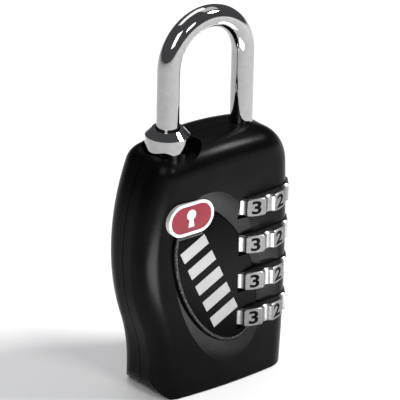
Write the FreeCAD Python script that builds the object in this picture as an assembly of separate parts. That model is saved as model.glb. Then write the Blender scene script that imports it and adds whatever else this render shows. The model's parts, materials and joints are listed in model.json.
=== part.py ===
import FreeCAD, Part
import math
import os

# Luggage combination padlock with four dials and an inspection key cylinder.
# Millimetres, +Z up. The origin is the middle of the flat bottom face, half way
# through the thickness and midway between the two legs of the shackle.
# The front is -Y. The dials stand out on the right, +X.

V = FreeCAD.Vector
UP = V(0, 0, 1)
BACK = V(0, 1, 0)

# ---- driving dimensions: outside of the lock ----
wire_d = 4.0              # shackle wire
leg_spacing = 16.2        # centre to centre of the two legs
overall_h = 69.3          # bottom face to the top of the shackle
lift = 6.0                # how far the unlocked shackle rises
body_h = 46.5             # crown of the arched top
body_t = 14.0             # thickness at the middle of the faces
edge_r = 4.2              # rounding along the sides and the top
foot_r = 0.35             # rounding around the bottom face
face_crown_r = 105.0      # faces bulge slightly, about a vertical axis
top_arch_r = 75.0
top_arch_x = 0.5
bulge_x = -17.4           # widest place of the left side
bulge_z = 27.3
bulge_r = 39.0
waist_x = -13.15          # narrowest place of the left side
waist_z = 3.8
right_x = 15.8            # right side at its widest
right_z = 21.0
right_r = 320.0
left_corner_r = 4.3
right_corner_r = 7.6
left_foot_r = 3.3         # lower corners of the outline
right_foot_r = 2.4
seam_w = 0.16             # groove where the two shells meet
seam_d = 0.25

# ---- dial column ----
dial_x = leg_spacing / 2
dial_count = 4
dial_pitch = 7.0
dial_h = 3.3
top_dial_z = 34.8         # upper face of the first dial
digits = 10
pad_r = 8.52              # axis to the flat of a number pad
pad_w = 3.44
valley_r = 1.25           # hollow between two pads
valley_d = 0.5
dial_bore_r = 4.75
dial_gap = 0.15           # between a dial and the ring above it
slot_gap = 0.3            # above and below a dial in its slot
slot_r = 8.8
sleeve_r = 4.7
sleeve_h = 5.2
sleeve_bore_r = 4.0
flange_t = 1.0
key_rib_r = 0.55
rod_r = 1.3
spindle_low = 6.2
fin_reach = 3.8
fin_w = 1.4
fin_h = 1.8
fin_drop = 0.15           # fin below the flange at rest
ring_t = 0.5
dent_ring_r = 6.8         # circle of the click dents under a dial
click_x = dial_x - dent_ring_r
ring_r = 5.9
ring_flat = 4.8          # axis to the flats that key a ring to the housing

# ---- catch between the shackle and the spindle ----
cap_z = top_dial_z + dial_gap
carriage_z = 35.6
carriage_t = 0.5
land_r = 1.8              # tip of the long leg, below its neck
land_h = 0.5
neck_r = 1.0
neck_h = 1.0
plate_t = 0.8
catch_travel = 2.0        # slide of the catch over a quarter turn of the plug
side_gap = 0.1            # running clearance of small sliding pieces
roof_z = 44.4             # ceiling of the catch chamber, over the heel of the shackle
arm_roof_z = 43.75        # lower ceiling over the arm of the catch, under the collar
arm_room_x = -2.6         # where the two ceilings meet

# ---- inspection key cylinder ----
key_x = -6.0
cylinder_r = 4.6
cylinder_h = 10.2
plug_r = 3.5
plug_low = 0.35
wafer_count = 4
peg_r = 0.6
peg_offset = catch_travel / math.sqrt(2)

# ---- face, badge and collar ----
oval_x = -2.3
oval_z = 21.8
oval_tilt = 25.5          # long axis leans to the left, degrees
oval_out = (18.2, 11.1)   # half lengths where the dish leaves the face
oval_in = (14.65, 7.75)   # half lengths of the level floor
dish_d = 0.6
# Side of the dish from its floor outwards: distance, as a share of the way from
# oval_in to oval_out, and depth, as a share of dish_d. It fades into the face.
dish_profile = ((0, 1), (0.25, 0.73), (0.5, 0.47), (0.75, 0.235), (1.0, 0.06), (1.25, -0.05),
                (1.5, -0.14))
plate_seat_d = 0.9        # seat of the plate below the floor of the dish
plate_proud = 0.5
plate_edge_r = 0.3
badge_proud = 0.15        # badge above the plate
badge_x = -8.1
badge_z = 34.3
badge_half = (4.9, 3.0)
collar_r = 3.9
collar_bore_r = 2.2
recess_r = 4.4
recess_z = 44.3
scoop_y = -2.5            # the shoulder is scooped out in front of the collar
scoop_r = 3.6
collar_rim_z = 47.6
collar_top_z = 48.8
collar_top_r = 2.75
toe_tip_z = collar_top_z + 0.5 - lift
stem_r = 3.0              # root of the collar, in the roof of the housing
bushing_r = 2.9
bushing_top = 45.5

FAR = 60.0                # longer than the lock in any direction


# ---- small helpers ----
def cyl(x, y, z, r, h, axis=UP):
    return Part.makeCylinder(r, h, V(x, y, z), axis)


def cone(x, y, z, r_low, r_high, h):
    return Part.makeCone(r_low, r_high, h, V(x, y, z), UP)


def block(x0, x1, y0, y1, z0, z1):
    return Part.makeBox(x1 - x0, y1 - y0, z1 - z0, V(x0, y0, z0))


def tube(x, y, z, r_out, r_in, h):
    return cyl(x, y, z, r_out, h).cut(cyl(x, y, z - 1, r_in, h + 2))


def join(shapes):
    return shapes[0].multiFuse(shapes[1:]).removeSplitter()


def polar(r, degrees):
    a = math.radians(degrees)
    return V(r * math.cos(a), r * math.sin(a), 0)


def save(name, shape):
    shape.exportStep(os.path.join("parts", name + ".step"))


def dial_top(n):
    return top_dial_z - n * dial_pitch


# ---- outline of the body, in the plane of the shackle ----
def circle_meet(ca, ra, cb, rb):
    d = cb - ca
    gap = d.Length
    along = (ra * ra - rb * rb + gap * gap) / (2 * gap)
    across = math.sqrt(ra * ra - along * along)
    n = V(d.z, 0, -d.x) / gap
    return ca + d * (along / gap) + n * across


def on_circle(c, r, towards):
    d = towards - c
    return c + d * (r / d.Length)


def arc_edge(c, r, p, q):
    middle = on_circle(c, r, (p + q) * 0.5)
    return Part.Arc(p, middle, q).toShape()


def outline_face(low_z):
    bulge_c = V(bulge_x + bulge_r, 0, bulge_z)
    top_c = V(top_arch_x, 0, body_h - top_arch_r)
    right_c = V(right_x - right_r, 0, right_z)
    # The concave waist arc touches the bulge arc and a vertical at the waist.
    a = waist_x - bulge_c.x
    b = waist_z - bulge_c.z
    waist_r = (a * a + b * b - bulge_r * bulge_r) / (2 * (bulge_r + a))
    waist_c = V(waist_x - waist_r, 0, waist_z)
    left_c = circle_meet(bulge_c, bulge_r - left_corner_r, top_c, top_arch_r - left_corner_r)
    corner_c = circle_meet(top_c, top_arch_r - right_corner_r, right_c, right_r - right_corner_r)
    foot = V(waist_x, 0, low_z)
    waist = V(waist_x, 0, waist_z)
    turn = on_circle(bulge_c, bulge_r, waist_c)
    # Circles that touch do so on the line through their centres.
    left_low = on_circle(bulge_c, bulge_r, left_c)
    left_top = on_circle(top_c, top_arch_r, left_c)
    right_top = on_circle(top_c, top_arch_r, corner_c)
    right_side = on_circle(right_c, right_r, corner_c)
    drop = right_z - low_z
    right_foot = V(right_c.x + math.sqrt(right_r * right_r - drop * drop), 0, low_z)
    edges = [Part.LineSegment(foot, waist).toShape(),
             arc_edge(waist_c, waist_r, waist, turn),
             arc_edge(bulge_c, bulge_r, turn, left_low),
             arc_edge(left_c, left_corner_r, left_low, left_top),
             arc_edge(top_c, top_arch_r, left_top, right_top),
             arc_edge(corner_c, right_corner_r, right_top, right_side),
             arc_edge(right_c, right_r, right_side, right_foot),
             Part.LineSegment(right_foot, foot).toShape()]
    return Part.Face(Part.Wire(edges))


def foot_corner(wall_x, inward, r):
    """What a rounded lower corner takes off, at the side wall wall_x."""
    centre_x = wall_x + inward * r
    beyond = wall_x - inward * r
    corner = block(min(beyond, centre_x), max(beyond, centre_x), -FAR, FAR, -1, r)
    return corner.cut(cyl(centre_x, -2 * FAR, r, r, 4 * FAR, BACK))


def body_blank():
    low_z = -6.0
    face = outline_face(low_z)
    face.translate(V(0, -body_t, 0))
    blank = face.extrude(BACK * (2 * body_t))
    for side in (-1, 1):
        centre_y = side * (body_t / 2 - face_crown_r)
        blank = blank.common(cyl(0, centre_y, low_z - 1, face_crown_r, FAR + 10))
    rims = []
    for edge in blank.Edges:
        box = edge.BoundBox
        outer = box.YMin > 4 or box.YMax < -4
        if outer and box.ZMax > low_z + 1:
            rims.append(edge)
    blank = blank.makeFillet(edge_r, rims)
    blank = blank.common(block(-FAR, FAR, -FAR, FAR, 0, FAR))
    foot_edges = [e for e in blank.Edges if e.BoundBox.ZMax < 0.01 and e.BoundBox.XLength > 15]
    blank = blank.makeFillet(foot_r, foot_edges)
    right_foot_x = right_x - right_r + math.sqrt(right_r * right_r - right_z * right_z)
    blank = blank.cut(foot_corner(waist_x, 1, left_foot_r))
    return blank.cut(foot_corner(right_foot_x, -1, right_foot_r))


# ---- the oval dish ----
def oval_wire(half_long, half_short, y):
    # The long half length runs up and to the left, so both axes turn about Y.
    long_dir = V(-math.sin(math.radians(oval_tilt)), 0, math.cos(math.radians(oval_tilt)))
    short_dir = V(math.cos(math.radians(oval_tilt)), 0, math.sin(math.radians(oval_tilt)))
    c = V(oval_x, y, oval_z)
    ellipse = Part.Ellipse(c + long_dir * half_long, c + short_dir * half_short, c)
    # Four arcs, so that no face made from the oval closes on itself.
    quarter = math.pi / 2
    arcs = [ellipse.toShape((k + 0.5) * quarter, (k + 1.5) * quarter) for k in range(4)]
    return Part.Wire(arcs)


def oval_prism(half_long, half_short, y0, y1):
    return Part.Face(oval_wire(half_long, half_short, y0)).extrude(BACK * (y1 - y0))


def dished_blank():
    sections = []
    for step, depth in dish_profile:
        half_long, half_short = [i + (o - i) * step for o, i in zip(oval_out, oval_in)]
        sections.append(oval_wire(half_long, half_short, -body_t / 2 + dish_d * depth))
    return body_blank().cut(Part.makeLoft(sections, True, False))


def badge_prism(grow, y0, y1):
    half_w = badge_half[0] + grow
    half_h = badge_half[1] + grow
    side = half_w - half_h
    depth = y1 - y0
    shape = block(badge_x - side, badge_x + side, y0, y1, badge_z - half_h, badge_z + half_h)
    ends = [cyl(badge_x + s * side, y0, badge_z, half_h, depth, BACK) for s in (-1, 1)]
    return join([shape] + ends)


# ---- cavities shared by both shells ----
seat_y = -body_t / 2 + dish_d + plate_seat_d
plate_y = -body_t / 2 + dish_d - plate_proud
badge_y = plate_y - badge_proud
screw_places = ((-11.4, 31.0), (-10.6, 16.5), (3.2, 4.4), (12.0, 4.6))
screw_head_y = body_t / 2 - 1.7


def dial_slots():
    slots = []
    for n in range(dial_count):
        z = dial_top(n) - dial_h - slot_gap
        slots.append(cyl(dial_x, 0, z, slot_r, dial_h + 2 * slot_gap))
    return slots


def ring_levels():
    return [cap_z + 0.05] + [dial_top(n) - sleeve_h - ring_t - 0.05 for n in range(dial_count)]


def flat_sided(disc, half_w):
    return disc.common(block(-FAR, FAR, -half_w, half_w, -FAR, FAR))


def ring_seats():
    return [flat_sided(cyl(dial_x, 0, z - 0.05, ring_r + 0.05, ring_t + 0.1), ring_flat + 0.05)
            for z in ring_levels()]


def click_pockets():
    pockets = []
    for n in range(dial_count):
        z = dial_top(n) - dial_h
        pockets.append(block(click_x - 0.75, click_x + 0.75, -2.5, 2.5, z - 1.3, z))
    return pockets


def catch_chamber():
    low = cap_z + ring_t
    main = block(arm_room_x, 10.9, -4.2, 4.2, low, roof_z)
    arm_room = block(-9.8, arm_room_x + 0.1, -4.2, 4.2, low, arm_roof_z)
    nose = block(10.8, 12.3, -2.4, 2.4, low, 43.8)
    return [main, arm_room, nose]


def cavities():
    column_low = dial_top(dial_count - 1) - sleeve_h - ring_t
    parts = dial_slots() + ring_seats() + click_pockets() + catch_chamber()
    parts.append(cyl(dial_x, 0, column_low, sleeve_r + 0.1, cap_z + 1 - column_low))
    parts.append(cyl(dial_x, 0, 1.6, 2.5, column_low))
    parts.append(cyl(dial_x, 0, roof_z - 1, bushing_r + 0.02, bushing_top + 1 - roof_z))
    parts.append(cyl(dial_x, 0, roof_z - 1, wire_d / 2 + 0.12, 5))
    parts.append(cyl(-dial_x, 0, arm_roof_z - 1, stem_r + 0.02, 5))
    parts.append(cyl(-dial_x, 0, recess_z, recess_r, 5))
    parts.append(cone(-dial_x, scoop_y, recess_z, scoop_r, scoop_r + 1.5, 3))
    parts.append(cyl(key_x, 0, -1, cylinder_r + 0.02, cylinder_h + 1.4))
    parts.append(cyl(key_x, 0, cylinder_h, 4.0, 2.4))
    parts.append(cyl(key_x, 0, 12, 1.6, 25))
    return parts


def seam_groove():
    inner = outline_face(-6.0).makeOffset2D(-seam_d)
    inner.translate(V(0, -seam_w, 0))
    inner = inner.extrude(BACK * (2 * seam_w)).common(block(-FAR, FAR, -1, 1, seam_d, FAR))
    return block(-FAR, FAR, -seam_w / 2, seam_w / 2, -1, FAR).cut(inner)


def screw_shape(x, z):
    y = screw_head_y
    head = cyl(x, y - 0.7, z, 1.7, 0.7, BACK)
    shank = cyl(x, -3.2, z, 0.95, y - 0.7 + 3.2, BACK)
    cross = block(x - 1.0, x + 1.0, y - 0.4, y + 1, z - 0.2, z + 0.2)
    other = block(x - 0.2, x + 0.2, y - 0.4, y + 1, z - 1.0, z + 1.0)
    return join([head, shank]).cut(cross).cut(other)


def screw_hole(x, z):
    hole = cyl(x, -3.4, z, 1.0, body_t, BACK)
    counterbore = cyl(x, screw_head_y - 0.72, z, 1.8, 3.0, BACK)
    return hole.fuse(counterbore)


def shell_half(solid, y0, y1, tools):
    shell = solid.common(block(-FAR, FAR, y0, y1, -1, FAR))
    for tool in tools:
        shell = shell.cut(tool)
    return shell


def housing():
    seat = oval_prism(oval_in[0], oval_in[1], -body_t / 2, seat_y)
    badge_seat = badge_prism(0.05, -body_t, seat_y)
    inside = cavities() + [seam_groove()]
    inside += [screw_hole(x, z) for x, z in screw_places]
    front = shell_half(dished_blank(), -FAR, 0, [seat, badge_seat] + inside)
    rear = shell_half(body_blank(), 0, FAR, inside)
    return front, rear


# ---- trim ----
def face_plate():
    plate = oval_prism(oval_in[0] - 0.05, oval_in[1] - 0.05, plate_y, seat_y)
    rim = [e for e in plate.Edges if abs(e.BoundBox.YMax - plate_y) < 0.01 and e.BoundBox.YLength < 0.01]
    plate = plate.makeFillet(plate_edge_r, rim)
    for slot in dial_slots():
        plate = plate.cut(slot)
    return plate.cut(badge_prism(0.1, -body_t, seat_y + 1))


def badge():
    rim = badge_prism(0, badge_y, seat_y)
    field = badge_prism(-0.55, badge_y - 1, badge_y + 0.25)
    return rim.cut(field)


def badge_enamel():
    return badge_prism(-0.57, badge_y + 0.05, badge_y + 0.25)


def toe_collar():
    stem = cyl(-dial_x, 0, arm_roof_z, stem_r, recess_z - arm_roof_z + 0.1)
    ring = cyl(-dial_x, 0, recess_z, collar_r, collar_rim_z - recess_z)
    nose = cone(-dial_x, 0, collar_rim_z, collar_r, collar_top_r, collar_top_z - collar_rim_z)
    collar = join([stem, ring, nose])
    return collar.cut(cyl(-dial_x, 0, 40, collar_bore_r, 15))


def heel_bushing():
    return tube(dial_x, 0, roof_z, bushing_r, wire_d / 2 + 0.08, bushing_top - 0.02 - roof_z)


# ---- shackle ----
def neck_top():
    return carriage_z + carriage_t + 0.1 + land_h + neck_h


def shackle():
    wire_r = wire_d / 2
    bend_r = leg_spacing / 2
    bend_z = overall_h - wire_r - bend_r
    bend = Part.makeTorus(bend_r, wire_r, V(0, 0, bend_z), BACK)
    bend = bend.common(block(-FAR, FAR, -FAR, FAR, bend_z, 2 * FAR))
    tip = cone(-dial_x, 0, toe_tip_z, wire_r - 0.5, wire_r, 0.5)
    toe = cyl(-dial_x, 0, toe_tip_z + 0.5, wire_r, bend_z - toe_tip_z - 0.5)
    heel = cyl(dial_x, 0, neck_top(), wire_r, bend_z - neck_top())
    neck = cyl(dial_x, 0, neck_top() - neck_h - 0.1, neck_r, neck_h + 0.2)
    land = cyl(dial_x, 0, neck_top() - neck_h - land_h, land_r, land_h)
    return join([bend, toe, tip, heel, neck, land])


# ---- dials and code sleeves ----
def dial(n):
    z = dial_top(n) - dial_h
    corner_r = math.hypot(pad_r, pad_w / 2)
    bevel = 0.25
    body = cyl(0, 0, z + bevel, corner_r, dial_h - 2 * bevel)
    body = body.fuse(cone(0, 0, z, corner_r - bevel, corner_r, bevel))
    body = body.fuse(cone(0, 0, dial_top(n) - bevel, corner_r, corner_r - bevel, bevel))
    step = 360.0 / digits
    half_pad = math.degrees(math.atan2(pad_w / 2, pad_r))
    valley_at = corner_r * math.cos(math.radians(step / 2 - half_pad)) - valley_d + valley_r
    cuts = [cyl(0, 0, z - 1, dial_bore_r, dial_h + 2)]
    for k in range(digits):
        flat = block(pad_r, pad_r + 2, -pad_w, pad_w, z - 1, z + dial_h + 1)
        flat.rotate(V(0, 0, 0), UP, k * step)
        at = polar(valley_at, (k + 0.5) * step)
        dent = polar(dent_ring_r, k * step)
        cuts.append(flat)
        cuts.append(cyl(at.x, at.y, z - 1, valley_r, dial_h + 2))
        cuts.append(cone(at.x, at.y, z - 0.1, valley_r + 0.45, valley_r - 0.05, 0.5))
        cuts.append(cone(at.x, at.y, dial_top(n) - 0.4, valley_r - 0.05, valley_r + 0.45, 0.5))
        cuts.append(Part.makeSphere(0.55, V(dent.x, dent.y, z - 0.35)))
    for k in range(4):
        at = polar(sleeve_r, 45 + 90 * k)
        cuts.append(cyl(at.x, at.y, z - 1, key_rib_r + 0.03, dial_h + 2))
    body = body.cut(cuts[0])
    for cut in cuts[1:]:
        body = body.cut(cut)
    body.translate(V(dial_x, 0, 0))
    return body


def code_sleeve(n):
    top = dial_top(n)
    sleeve = cyl(dial_x, 0, top - sleeve_h, sleeve_r, sleeve_h)
    for k in range(4):
        at = polar(sleeve_r, 45 + 90 * k) + V(dial_x, 0, 0)
        sleeve = sleeve.fuse(cyl(at.x, at.y, top - dial_h, key_rib_r, dial_h))
    sleeve = sleeve.cut(cyl(dial_x, 0, top - sleeve_h - 1, sleeve_bore_r, sleeve_h - flange_t + 1))
    sleeve = sleeve.cut(cyl(dial_x, 0, top - 2, rod_r + 0.15, 3))
    gate_half = fin_w / 2 + 0.2
    gate = block(dial_x - sleeve_bore_r, dial_x, -gate_half, gate_half, top - 2, top + 1)
    return sleeve.cut(gate)


def column_rings():
    rings = [tube(dial_x, 0, z, ring_r, sleeve_bore_r, ring_t) for z in ring_levels()]
    return Part.makeCompound([flat_sided(ring, ring_flat) for ring in rings])


def click_spring(n):
    z = dial_top(n) - dial_h
    strip = block(click_x - 0.6, click_x + 0.6, -2.3, 2.3, z - 0.45, z - 0.25)
    feet = [block(click_x - 0.6, click_x + 0.6, y, y + 0.3, z - 1.3, z - 0.3) for y in (-2.3, 2.0)]
    dome = Part.makeSphere(0.5, V(click_x, 0, z - 0.35))
    dome = dome.common(block(click_x - 1, click_x + 1, -1, 1, z - 0.4, z + 1))
    return join([strip, dome] + feet)


# ---- spindle, carriage and catch ----
def spindle():
    rod = cyl(dial_x, 0, spindle_low, rod_r, carriage_z + carriage_t - spindle_low)
    fins = []
    for n in range(dial_count):
        z = dial_top(n) - flange_t - fin_drop - fin_h
        fins.append(block(dial_x - fin_reach, dial_x, -fin_w / 2, fin_w / 2, z, z + fin_h))
    return join([rod] + fins)


def carriage():
    x0 = dial_x - 3.2
    x1 = dial_x + 2.6
    wall_z = neck_top() + 0.5
    base = block(x0, x1, -3.9, 3.9, carriage_z, carriage_z + carriage_t)
    walls = [block(x0, x1, min(s * 3.1, s * 3.9), max(s * 3.1, s * 3.9), carriage_z, wall_z)
             for s in (-1, 1)]
    body = join([base] + walls)
    plate_z = neck_top() - neck_h / 2 - plate_t / 2
    groove = block(x0 - 1, x1 + 1, -3.5, 3.5, plate_z - 0.05, plate_z + plate_t + 0.05)
    return body.cut(groove).cut(cyl(dial_x, 0, carriage_z - 1, rod_r, 3))


def catch_plate():
    z = neck_top() - neck_h / 2 - plate_t / 2
    slot_half = neck_r + side_gap
    wide = block(dial_x - catch_travel - 3.2, dial_x + 0.7, -3.4, 3.4, z, z + plate_t)
    nose = block(dial_x, dial_x + slot_half + 0.9, -2.2, 2.2, z, z + plate_t)
    arm = block(key_x - peg_offset - 1.9, dial_x - 4, -2.9, 1.6, z, z + plate_t)
    plate = join([wide, nose, arm])
    neck_slot = join([cyl(dial_x, 0, z - 1, slot_half, 3),
                      block(dial_x - catch_travel, dial_x, -slot_half, slot_half, z - 1, z + 2)])
    hole = cyl(dial_x - catch_travel, 0, z - 1, land_r + 0.15, 3)
    # The peg swings from 225 to 315 degrees about the plug, so the yoke lies on one side.
    peg_x = key_x - catch_travel / 2
    half_w = peg_r + side_gap
    yoke = block(peg_x - half_w, peg_x + half_w, -peg_offset - half_w,
                 half_w - catch_travel / 2, z - 1, z + 2)
    return plate.cut(neck_slot).cut(hole).cut(yoke)


def shackle_spring():
    turns = 4
    low = 1.6
    coil_r = 1.7
    wire_r = 0.22
    rise = (spindle_low - low - 2 * wire_r - 0.04) / turns
    slope = math.atan2(rise, 2 * math.pi * coil_r)
    quarters = []
    for k in range(4 * turns):
        helix = Part.makeHelix(rise, rise / 4, coil_r)
        along = V(0, math.cos(slope), math.sin(slope))
        section = Part.Wire(Part.Circle(V(coil_r, 0, 0), along, wire_r).toShape())
        quarter = Part.Wire(helix.Edges).makePipeShell([section], True, True)
        quarter.rotate(V(0, 0, 0), UP, 90 * k)
        quarter.translate(V(dial_x, 0, low + wire_r + 0.02 + k * rise / 4))
        quarters.append(quarter)
    return quarters[0].multiFuse(quarters[1:])


# ---- inspection key cylinder ----
def key_cylinder_shell():
    shell = tube(key_x, 0, 0.2, cylinder_r, plug_r + 0.05, cylinder_h - 0.2)
    for s in (-1, 1):
        slot = block(key_x - 0.9, key_x + 0.9, min(0, s * 4.0), max(0, s * 4.0), 2.0, cylinder_h - 0.8)
        shell = shell.cut(slot)
    return shell


def wafer_z(k):
    return 2.4 + k * 1.75


def key_plug():
    plug = cyl(key_x, 0, plug_low, plug_r, cylinder_h - plug_low)
    neck = cyl(key_x, 0, cylinder_h, 2.2, 2.2)
    body = join([plug, neck])
    body = body.cut(block(key_x - 0.5, key_x + 0.5, -2.6, 2.6, -1, 9.2))
    body = body.cut(block(key_x - 1.1, key_x + 1.1, -3.0, 3.0, -1, plug_low + 0.3))
    body = body.cut(tube(key_x, 0, cylinder_h + 0.35, 3.0, 1.8, 0.6))
    for k in range(wafer_count):
        z = wafer_z(k)
        body = body.cut(block(key_x - 1.35, key_x + 1.35, -3.6, 3.6, z, z + 0.7))
    return body.cut(block(key_x - 0.6, key_x + 0.6, -1.9, 1.9, cylinder_h + 0.95, cylinder_h + 3))


def wafer_tumblers():
    wafers = []
    for k in range(wafer_count):
        z = wafer_z(k) + 0.05
        wafer = block(key_x - 1.3, key_x + 1.3, -3.15, 3.15, z, z + 0.6)
        window = block(key_x - 0.55, key_x + 0.55, -2.0 + 0.25 * k, 1.2 + 0.25 * k, z - 1, z + 2)
        spring_seat = block(key_x + 0.75, key_x + 1.4, -1.2, 1.2, z - 1, z + 2)
        wafers.append(wafer.cut(window).cut(spring_seat))
    return Part.makeCompound(wafers)


def wafer_springs():
    springs = []
    for k in range(wafer_count):
        z = wafer_z(k) + 0.35
        springs.append(cyl(key_x + 1.08, -1.15, z, 0.2, 2.3, BACK))
    return Part.makeCompound(springs)


def plug_clip():
    clip = tube(key_x, 0, cylinder_h + 0.4, 3.4, 1.85, 0.5)
    return clip.cut(block(key_x, key_x + 5, -1.2, 1.2, cylinder_h, cylinder_h + 2))


def key_tailpiece():
    crank_z = cap_z + ring_t + 0.15
    tang = block(key_x - 0.55, key_x + 0.55, -1.85, 1.85, cylinder_h + 1.0, cylinder_h + 2.2)
    tang = tang.common(cyl(key_x, 0, cylinder_h, 2.0, 4))
    rod = cyl(key_x, 0, cylinder_h + 2.2, 1.1, crank_z - cylinder_h - 2.2)
    disc = cyl(key_x, 0, crank_z, 2.3, 0.7)
    # The peg starts 45 degrees short of square to the slide and ends 45 past it.
    at = V(key_x, 0, 0) + polar(peg_offset, 225)
    plate_top = neck_top() - neck_h / 2 + plate_t / 2
    peg = cyl(at.x, at.y, crank_z + 0.5, peg_r, plate_top + 0.1 - crank_z - 0.5)
    return join([tang, rod, disc, peg])


def housing_screws():
    return Part.makeCompound([screw_shape(x, z) for x, z in screw_places])


def main():
    os.makedirs("parts", exist_ok=True)
    front, rear = housing()
    save("front_shell", front)
    save("rear_shell", rear)
    save("face_plate", face_plate())
    save("badge", badge())
    save("badge_enamel", badge_enamel())
    save("toe_collar", toe_collar())
    save("heel_bushing", heel_bushing())
    save("shackle", shackle())
    save("spindle", spindle())
    save("spindle_carriage", carriage())
    save("catch_plate", catch_plate())
    save("shackle_spring", shackle_spring())
    save("column_rings", column_rings())
    save("key_cylinder_shell", key_cylinder_shell())
    save("key_plug", key_plug())
    save("wafer_tumblers", wafer_tumblers())
    save("wafer_springs", wafer_springs())
    save("plug_clip", plug_clip())
    save("key_tailpiece", key_tailpiece())
    save("housing_screws", housing_screws())
    for n in range(dial_count):
        save("dial_%d" % (n + 1), dial(n))
        save("code_sleeve_%d" % (n + 1), code_sleeve(n))
        save("click_spring_%d" % (n + 1), click_spring(n))


main()
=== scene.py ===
import json
import math

import bmesh
import bpy
from mathutils import Matrix, Vector


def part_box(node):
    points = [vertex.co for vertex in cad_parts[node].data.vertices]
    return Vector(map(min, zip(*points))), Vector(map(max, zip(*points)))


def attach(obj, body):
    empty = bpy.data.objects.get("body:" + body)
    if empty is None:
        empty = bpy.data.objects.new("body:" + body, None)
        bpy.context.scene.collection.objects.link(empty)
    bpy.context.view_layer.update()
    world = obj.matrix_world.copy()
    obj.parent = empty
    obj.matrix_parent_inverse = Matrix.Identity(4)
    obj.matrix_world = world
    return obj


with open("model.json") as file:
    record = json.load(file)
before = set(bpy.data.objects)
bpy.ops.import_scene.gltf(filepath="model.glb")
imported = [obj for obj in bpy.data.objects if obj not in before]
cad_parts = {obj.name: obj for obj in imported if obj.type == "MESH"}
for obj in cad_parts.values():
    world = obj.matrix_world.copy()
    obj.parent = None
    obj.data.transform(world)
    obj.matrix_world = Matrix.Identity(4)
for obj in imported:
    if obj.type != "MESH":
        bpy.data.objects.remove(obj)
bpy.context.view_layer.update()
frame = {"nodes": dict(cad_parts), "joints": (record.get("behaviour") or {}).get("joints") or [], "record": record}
nodes = frame["nodes"]
MM = 0.001
MICRON = 1e-6

# ---------------------------------------------------------------- places read from the frame
DIAL_NAMES = ["dial_1", "dial_2", "dial_3", "dial_4"]
dial_low, dial_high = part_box(DIAL_NAMES[0])
lowest_dial_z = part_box(DIAL_NAMES[-1])[0].z
dial_axis_x = next(j["pos_m"][0] for j in frame["joints"] if j["name"] == "dial_1_turn")
pad_r = dial_high.x - dial_axis_x
floor_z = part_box("front_shell")[0].z
badge_low, badge_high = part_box("badge")
plate_low, plate_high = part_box("face_plate")


# ---------------------------------------------------------------- node helpers
def new_material(name):
    material = bpy.data.materials.new(name)
    material.use_nodes = True
    tree = material.node_tree
    return material, tree, tree.nodes["Principled BSDF"]


def object_coords(tree, scale=(1, 1, 1)):
    coords = tree.nodes.new("ShaderNodeTexCoord")
    mapping = tree.nodes.new("ShaderNodeMapping")
    mapping.inputs["Scale"].default_value = scale
    tree.links.new(coords.outputs["Object"], mapping.inputs["Vector"])
    return mapping.outputs["Vector"]


def noise(tree, vector, scale, detail=3.0, rough=0.5):
    node = tree.nodes.new("ShaderNodeTexNoise")
    node.inputs["Scale"].default_value = scale
    node.inputs["Detail"].default_value = detail
    node.inputs["Roughness"].default_value = rough
    tree.links.new(vector, node.inputs["Vector"])
    return node.outputs["Fac"]


def two_tones(tree, factor, dark, light, dark_at, light_at):
    """Colour that runs from `dark` to `light` between two values of the factor."""
    node = tree.nodes.new("ShaderNodeValToRGB")
    first, last = node.color_ramp.elements
    first.position, first.color = dark_at, (*dark, 1)
    last.position, last.color = light_at, (*light, 1)
    tree.links.new(factor, node.inputs["Fac"])
    return node.outputs["Color"]


def span(tree, factor, limits):
    """The factor's 0 to 1, carried over to a pair of limits."""
    node = tree.nodes.new("ShaderNodeMapRange")
    node.inputs["To Min"].default_value, node.inputs["To Max"].default_value = limits
    tree.links.new(factor, node.inputs["Value"])
    return node.outputs["Result"]


def bump(tree, height, distance):
    node = tree.nodes.new("ShaderNodeBump")
    node.inputs["Strength"].default_value = 1.0
    node.inputs["Distance"].default_value = distance
    tree.links.new(height, node.inputs["Height"])
    return node.outputs["Normal"]


def grey(value):
    return (value, value, value)


# ---------------------------------------------------------------- materials
METAL_CLOUDS = 120.0        # noise scale of the slow change in a metal's gloss
PAINT_CLOUDS = 150.0        # noise scale of the slow change in a coat's tone and gloss
PAINT_GRAIN = 3000.0        # noise scale of a coat's fine skin
PAINT_RELIEF = 1.5 * MICRON
COAT_ROUGHNESS = 0.08


def metal(name, dark, light, rough, grain, stretch=(1, 1, 1), depth=2 * MICRON):
    """Metal whose tone and relief follow a fine grain, stretched by `stretch`."""
    material, tree, shader = new_material(name)
    fine = noise(tree, object_coords(tree, stretch), grain, detail=4.0, rough=0.6)
    broad = noise(tree, object_coords(tree), METAL_CLOUDS, detail=2.0)
    tone = two_tones(tree, fine, dark, light, dark_at=0.3, light_at=0.7)
    shader.inputs["Metallic"].default_value = 1.0
    tree.links.new(tone, shader.inputs["Base Color"])
    tree.links.new(span(tree, broad, rough), shader.inputs["Roughness"])
    tree.links.new(bump(tree, fine, depth), shader.inputs["Normal"])
    return material


def paint(name, dark, light, rough, shine=0.5, coat=0.0):
    """Sprayed or moulded surface with a fine skin and slightly uneven tone and gloss."""
    material, tree, shader = new_material(name)
    vector = object_coords(tree)
    skin = noise(tree, vector, PAINT_GRAIN, detail=2.0)
    clouds = noise(tree, vector, PAINT_CLOUDS, detail=3.0)
    tone = two_tones(tree, clouds, dark, light, dark_at=0.35, light_at=0.7)
    tree.links.new(tone, shader.inputs["Base Color"])
    tree.links.new(span(tree, clouds, rough), shader.inputs["Roughness"])
    tree.links.new(bump(tree, skin, PAINT_RELIEF), shader.inputs["Normal"])
    shader.inputs["Specular IOR Level"].default_value = shine
    shader.inputs["Coat Weight"].default_value = coat
    shader.inputs["Coat Roughness"].default_value = COAT_ROUGHNESS
    return material


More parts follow.
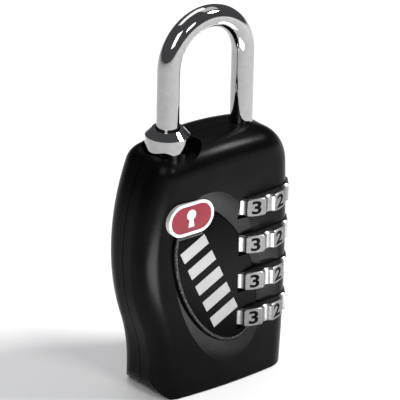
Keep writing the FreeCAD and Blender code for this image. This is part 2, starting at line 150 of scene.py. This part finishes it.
black = paint("black_coat", dark=grey(0.0008), light=grey(0.0018), rough=(0.24, 0.32), shine=0.062)
black_face = paint("black_face_coat", dark=grey(0.0006), light=grey(0.0014), rough=(0.24, 0.32),
                   shine=0.015)
chrome = metal("chrome_plate", dark=grey(0.35), light=grey(0.40), rough=(0.03, 0.06), grain=900.0,
               depth=0.1 * MICRON)
satin = metal("satin_zinc_plate", dark=grey(0.15), light=grey(0.23), rough=(0.30, 0.42), grain=1500.0,
              stretch=(1, 1, 6))
steel = metal("turned_steel", dark=grey(0.42), light=grey(0.55), rough=(0.3, 0.42), grain=900.0,
              stretch=(1, 1, 20))
spring = metal("drawn_wire", dark=grey(0.32), light=grey(0.46), rough=(0.25, 0.35), grain=4000.0)
brass = metal("turned_brass", dark=(0.55, 0.38, 0.14), light=(0.72, 0.54, 0.24), rough=(0.25, 0.38),
              grain=900.0, stretch=(1, 1, 15))
white = paint("white_enamel", dark=(0.40, 0.40, 0.395), light=(0.46, 0.46, 0.45), rough=(0.25, 0.32),
              coat=0.2)
red = paint("red_enamel", dark=(0.11, 0.003, 0.010), light=(0.15, 0.006, 0.015), rough=(0.22, 0.3),
            shine=0.2, coat=0.05)
ink = paint("black_ink", dark=grey(0.001), light=grey(0.003), rough=(0.5, 0.6), shine=0.03)
light_print = paint("light_print", dark=grey(0.21), light=grey(0.25), rough=(0.35, 0.45), shine=0.2)
bead_black = paint("bead_coat", dark=grey(0.003), light=grey(0.006), rough=(0.3, 0.4), shine=0.4)
screw_black = metal("blackened_steel", dark=grey(0.02), light=grey(0.05), rough=(0.3, 0.4), grain=2500.0)

SLOT_MATERIALS = {
    "black_housing": black, "black_face": black_face, "white_enamel": white, "red_enamel": red,
    "polished_chrome": chrome, "satin_zinc": satin, "inner_steel": steel, "spring_steel": spring,
    "brass_parts": brass, "black_steel": screw_black,
}


def dress_nodes():
    slots = {part["node"]: part["material_slot"] for part in frame["record"]["subparts"]}
    for name, obj in nodes.items():
        obj.data.materials.clear()
        obj.data.materials.append(SLOT_MATERIALS[slots[name]])


def place_piece(name, mesh, material, body):
    """A new visible piece that rides on a body of the lock."""
    piece = bpy.data.objects.new(name, mesh)
    bpy.context.scene.collection.objects.link(piece)
    piece.data.materials.append(material)
    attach(piece, body)


def mesh_from(name, shape):
    """The mesh of a finished bmesh."""
    mesh = bpy.data.meshes.new(name)
    shape.to_mesh(mesh)
    shape.free()
    return mesh


# ---------------------------------------------------------------- dial numbers
DIGIT_COUNT = 10
DIGIT_SIZE = 3.3 * MM
DIGIT_BOLD = 0.09 * MM      # how far each stroke grows past the thin outline
DIGIT_WIDE = 1.28           # sideways stretch
INK_DEPTH = 0.04 * MM


def digit_mesh(digit):
    """One number about the origin, facing +Z. Its flattened bevel thickens the strokes."""
    name = "digit_%d" % digit
    curve = bpy.data.curves.new(name, "FONT")
    curve.body = str(digit)
    curve.size = DIGIT_SIZE
    curve.align_x = "CENTER"
    curve.align_y = "CENTER"
    curve.extrude = INK_DEPTH / 2
    curve.bevel_depth = DIGIT_BOLD
    curve.bevel_resolution = 0
    holder = bpy.data.objects.new(name, curve)
    bpy.context.scene.collection.objects.link(holder)
    bpy.context.view_layer.update()
    mesh = bpy.data.meshes.new_from_object(holder.evaluated_get(bpy.context.evaluated_depsgraph_get()))
    bpy.data.objects.remove(holder)
    bpy.data.curves.remove(curve)
    xs = [v.co.x for v in mesh.vertices]
    ys = [v.co.y for v in mesh.vertices]
    middle = Vector(((min(xs) + max(xs)) / 2, (min(ys) + max(ys)) / 2, 0))
    flatten = INK_DEPTH / (INK_DEPTH + 2 * DIGIT_BOLD)
    mesh.transform(Matrix.Diagonal((DIGIT_WIDE, 1, flatten, 1)) @ Matrix.Translation(-middle))
    return mesh


def number_ring(dial, digit_meshes):
    """One number on each pad. Number 0 faces +X and the others follow clockwise from above."""
    low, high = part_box(dial)
    middle_z = (low.z + high.z) / 2
    quarter = math.radians(90)
    stand = Matrix.Rotation(quarter, 4, "X")
    ring = bmesh.new()
    for digit, mesh in enumerate(digit_meshes):
        angle = math.radians(-360 / DIGIT_COUNT * digit)
        face = Matrix.Rotation(angle + quarter, 4, "Z")
        out = Vector((math.cos(angle), math.sin(angle), 0)) * pad_r
        place = Matrix.Translation(Vector((dial_axis_x, 0, middle_z)) + out)
        part = mesh.copy()
        part.transform(place @ face @ stand)
        ring.from_mesh(part)
        bpy.data.meshes.remove(part)
    name = dial + "_numbers"
    place_piece(name, mesh_from(name, ring), ink, dial)


def dial_numbers():
    digit_meshes = [digit_mesh(digit) for digit in range(DIGIT_COUNT)]
    for dial in DIAL_NAMES:
        number_ring(dial, digit_meshes)


# ---------------------------------------------------------------- print on the badge and the plate
def flat_piece(name, outline, y, material, depth):
    """A thin print with (x, z) corners that stands `depth` proud of the surface at `y`."""
    shape = bmesh.new()
    face = shape.faces.new([shape.verts.new((x, y + depth, z)) for x, z in outline])
    grown = bmesh.ops.extrude_face_region(shape, geom=[face])
    moved = [v for v in grown["geom"] if isinstance(v, bmesh.types.BMVert)]
    bmesh.ops.translate(shape, verts=moved, vec=(0, -2 * depth, 0))
    bmesh.ops.recalc_face_normals(shape, faces=shape.faces)
    place_piece(name, mesh_from(name, shape), material, "housing")


def keyhole_outline(x, z, head_r, stem_w, stem_l):
    """Round head about (x, z) with a stem that widens downwards."""
    head_steps = 24
    foot_half_w = stem_w * 0.8
    start = math.asin(stem_w / 2 / head_r)
    points = []
    for k in range(head_steps + 1):
        angle = -math.pi / 2 + start + (2 * math.pi - 2 * start) * k / head_steps
        points.append((x + head_r * math.cos(angle), z + head_r * math.sin(angle)))
    foot_z = z - head_r - stem_l
    return points + [(x - foot_half_w, foot_z), (x + foot_half_w, foot_z)]


def badge_keyhole():
    """Keyhole sign in the middle of the badge, sized by the height of the red field."""
    low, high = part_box("badge_enamel")
    middle = (low + high) / 2
    tall = high.z - low.z
    outline = keyhole_outline(middle.x, middle.z + 0.14 * tall, head_r=0.20 * tall,
                              stem_w=0.17 * tall, stem_l=0.26 * tall)
    flat_piece("badge_keyhole", outline, low.y, white, depth=0.04 * MM)


BAR_COUNT = 5
BAR_SHARE = 0.58                            # share of the pitch that a bar takes
BARS_LONG = 17.8 * MM
BARS_WIDE = 5.8 * MM
BARS_START = Vector((-7.7, 29.3)) * MM      # (x, z) of the middle of the first bar's top edge
BARS_ALONG = Vector((0.441, -0.898))        # down the long axis of the oval
BARS_ACROSS = Vector((0.898, 0.441))


def plate_bars():
    """Plain slanted bars where the photograph has lettering, along the long axis of the oval."""
    pitch = BARS_LONG / (BAR_COUNT - 1 + BAR_SHARE)
    half = BARS_ACROSS * (BARS_WIDE / 2)
    thick = BARS_ALONG * (pitch * BAR_SHARE)
    for k in range(BAR_COUNT):
        top = BARS_START + BARS_ALONG * (pitch * k)
        outline = [tuple(c) for c in (top - half, top + half, top + half + thick, top - half + thick)]
        flat_piece("plate_bar_%d" % (k + 1), outline, plate_low.y, light_print, depth=0.05 * MM)


# ---------------------------------------------------------------- bead along the edge of the plate
BEAD_CLEAR = 0.42 * MM      # how far the bead's line keeps from the dials
BEAD_WIDE = 0.6 * MM
BEAD_HIGH = 0.13 * MM
BEAD_SUNK = 0.04 * MM
# Half-round section: place across the bead in widths, and height over the plate.
BEAD_PROFILE = [(-0.5, -BEAD_SUNK), (-0.3, BEAD_HIGH * 0.75), (0.0, BEAD_HIGH), (0.3, BEAD_HIGH * 0.75),
                (0.5, -BEAD_SUNK)]


def plate_outline():
    """(x, z) corners of the face plate's front face, from under the badge to the lowest dial."""
    plate = nodes["face_plate"]
    badge_middle_x = (badge_low.x + badge_high.x) / 2
    spots = set()
    for vertex in plate.data.vertices:
        spot = plate.matrix_world @ vertex.co
        front = spot.y < plate_low.y + BEAD_SUNK
        clear_of_dials = spot.x < dial_low.x - BEAD_CLEAR or spot.z < lowest_dial_z - BEAD_CLEAR
        beside_badge = spot.z > badge_low.z and spot.x > badge_middle_x
        if front and clear_of_dials and not beside_badge:
            spots.add((round(spot.x, 6), round(spot.z, 6)))
    middle = Vector((dial_low.x, (plate_low.z + plate_high.z) / 2))
    return sorted((Vector(spot) for spot in spots),
                  key=lambda spot: math.atan2(spot.y - middle.y, spot.x - middle.x) % (2 * math.pi))


def plate_bead():
    """Thin half-round bead along the free edge of the face plate, closed at both ends."""
    outline = plate_outline()
    corners = len(BEAD_PROFILE)
    shape = bmesh.new()
    rings = []
    for k, spot in enumerate(outline):
        along = (outline[min(k + 1, len(outline) - 1)] - outline[max(k - 1, 0)]).normalized()
        outward = Vector((along.y, -along.x))
        ring = []
        for side, high in BEAD_PROFILE:
            place = spot + outward * (side - 0.5) * BEAD_WIDE
            ring.append(shape.verts.new((place.x, plate_low.y - high, place.y)))
        rings.append(ring)
    for ring, following in zip(rings, rings[1:]):
        for j in range(corners):
            n = (j + 1) % corners
            shape.faces.new((ring[j], ring[n], following[n], following[j]))
    shape.faces.new(rings[0])
    shape.faces.new(rings[-1])
    bmesh.ops.recalc_face_normals(shape, faces=shape.faces)
    mesh = mesh_from("plate_bead", shape)
    for face in mesh.polygons:
        face.use_smooth = True
    place_piece("plate_bead", mesh, bead_black, "housing")


# ---------------------------------------------------------------- floor, light and camera
FLOOR_HALF = 3.0
FLOOR_GAP = 0.02 * MM
FLOOR_CLOUDS = 3.0
CARD_Z = 1 * MM             # height of the low cards of light over the floor


def pale_floor():
    mesh = bpy.data.meshes.new("floor")
    corners = [(x * FLOOR_HALF, y * FLOOR_HALF, 0) for x, y in ((-1, -1), (1, -1), (1, 1), (-1, 1))]
    mesh.from_pydata(corners, [], [(0, 1, 2, 3)])
    floor = bpy.data.objects.new("floor", mesh)
    bpy.context.scene.collection.objects.link(floor)
    material, tree, shader = new_material("pale_floor")
    clouds = noise(tree, object_coords(tree), FLOOR_CLOUDS, detail=2.0)
    tone = two_tones(tree, clouds, grey(0.90), grey(0.93), dark_at=0.3, light_at=0.7)
    tree.links.new(tone, shader.inputs["Base Color"])
    shader.inputs["Roughness"].default_value = 0.7
    floor.data.materials.append(material)
    floor.location.z = floor_z - FLOOR_GAP


def dim_sky():
    world = bpy.data.worlds.new("studio")
    bpy.context.scene.world = world
    world.use_nodes = True
    background = world.node_tree.nodes["Background"]
    background.inputs["Color"].default_value = (0.9, 0.92, 1.0, 1)
    background.inputs["Strength"].default_value = 0.14


def area_light(name, place, size, watts, target=(0, 0, 0.03)):
    light = bpy.data.lights.new(name, "AREA")
    light.shape = "RECTANGLE"
    light.size, light.size_y = size
    light.energy = watts
    lamp = bpy.data.objects.new(name, light)
    bpy.context.scene.collection.objects.link(lamp)
    lamp.location = place
    lamp.visible_camera = False
    lamp.rotation_euler = (Vector(place) - Vector(target)).to_track_quat("Z", "Y").to_euler()


def low_card(name, x, y, size, watts):
    """A small light that lies just over the floor and faces up, for the edges that look down."""
    area_light(name, (x, y, CARD_Z), size, watts, target=(x, y, 0.1))


def studio_lights():
    area_light("key", place=(-0.75, -0.55, 0.75), size=(0.45, 0.6), watts=4.2)
    area_light("fill", place=(0.55, -0.40, 0.68), size=(0.22, 0.22), watts=8.5)
    area_light("sky", place=(0.50, 0.10, 0.85), size=(0.55, 0.45), watts=0.8, target=(0, 0, 0.05))
    area_light("front", place=(0.02, -0.80, 0.56), size=(0.24, 0.18), watts=2.0)
    area_light("top", place=(0.1, 0.55, 0.95), size=(0.9, 0.5), watts=3.5, target=(0.05, 0.1, 0))
    low_card("low_left", x=-0.034, y=-0.062, size=(0.04, 0.055), watts=0.145)
    low_card("low_right", x=0.031, y=-0.038, size=(0.03, 0.02), watts=0.025)


# The photograph's camera, found by fitting the outline of the lock.
CAMERA_TARGET = Vector((-0.617, 0, 33.248)) * MM
CAMERA_AZIMUTH = math.radians(-39.16)
CAMERA_ELEVATION = math.radians(24.25)
CAMERA_ROLL = math.radians(1.344)
CAMERA_DISTANCE = 768.8 * MM
CAMERA_LENS = 400.0
CAMERA_SENSOR = 36.0
CAMERA_CLIP = 0.01


def camera():
    flat = math.cos(CAMERA_ELEVATION)
    back = Vector((math.sin(CAMERA_AZIMUTH) * flat, -math.cos(CAMERA_AZIMUTH) * flat,
                   math.sin(CAMERA_ELEVATION)))
    data = bpy.data.cameras.new("camera")
    data.sensor_width = CAMERA_SENSOR
    data.lens = CAMERA_LENS
    data.clip_start = CAMERA_CLIP
    obj = bpy.data.objects.new("camera", data)
    bpy.context.scene.collection.objects.link(obj)
    turn = back.to_track_quat("Z", "Y").to_matrix().to_4x4() @ Matrix.Rotation(CAMERA_ROLL, 4, "Z")
    obj.matrix_world = Matrix.Translation(CAMERA_TARGET + back * CAMERA_DISTANCE) @ turn
    bpy.context.scene.camera = obj


dress_nodes()
dial_numbers()
badge_keyhole()
plate_bars()
plate_bead()
pale_floor()
dim_sky()
studio_lights()
camera()
bpy.context.scene.view_settings.view_transform = "Standard"
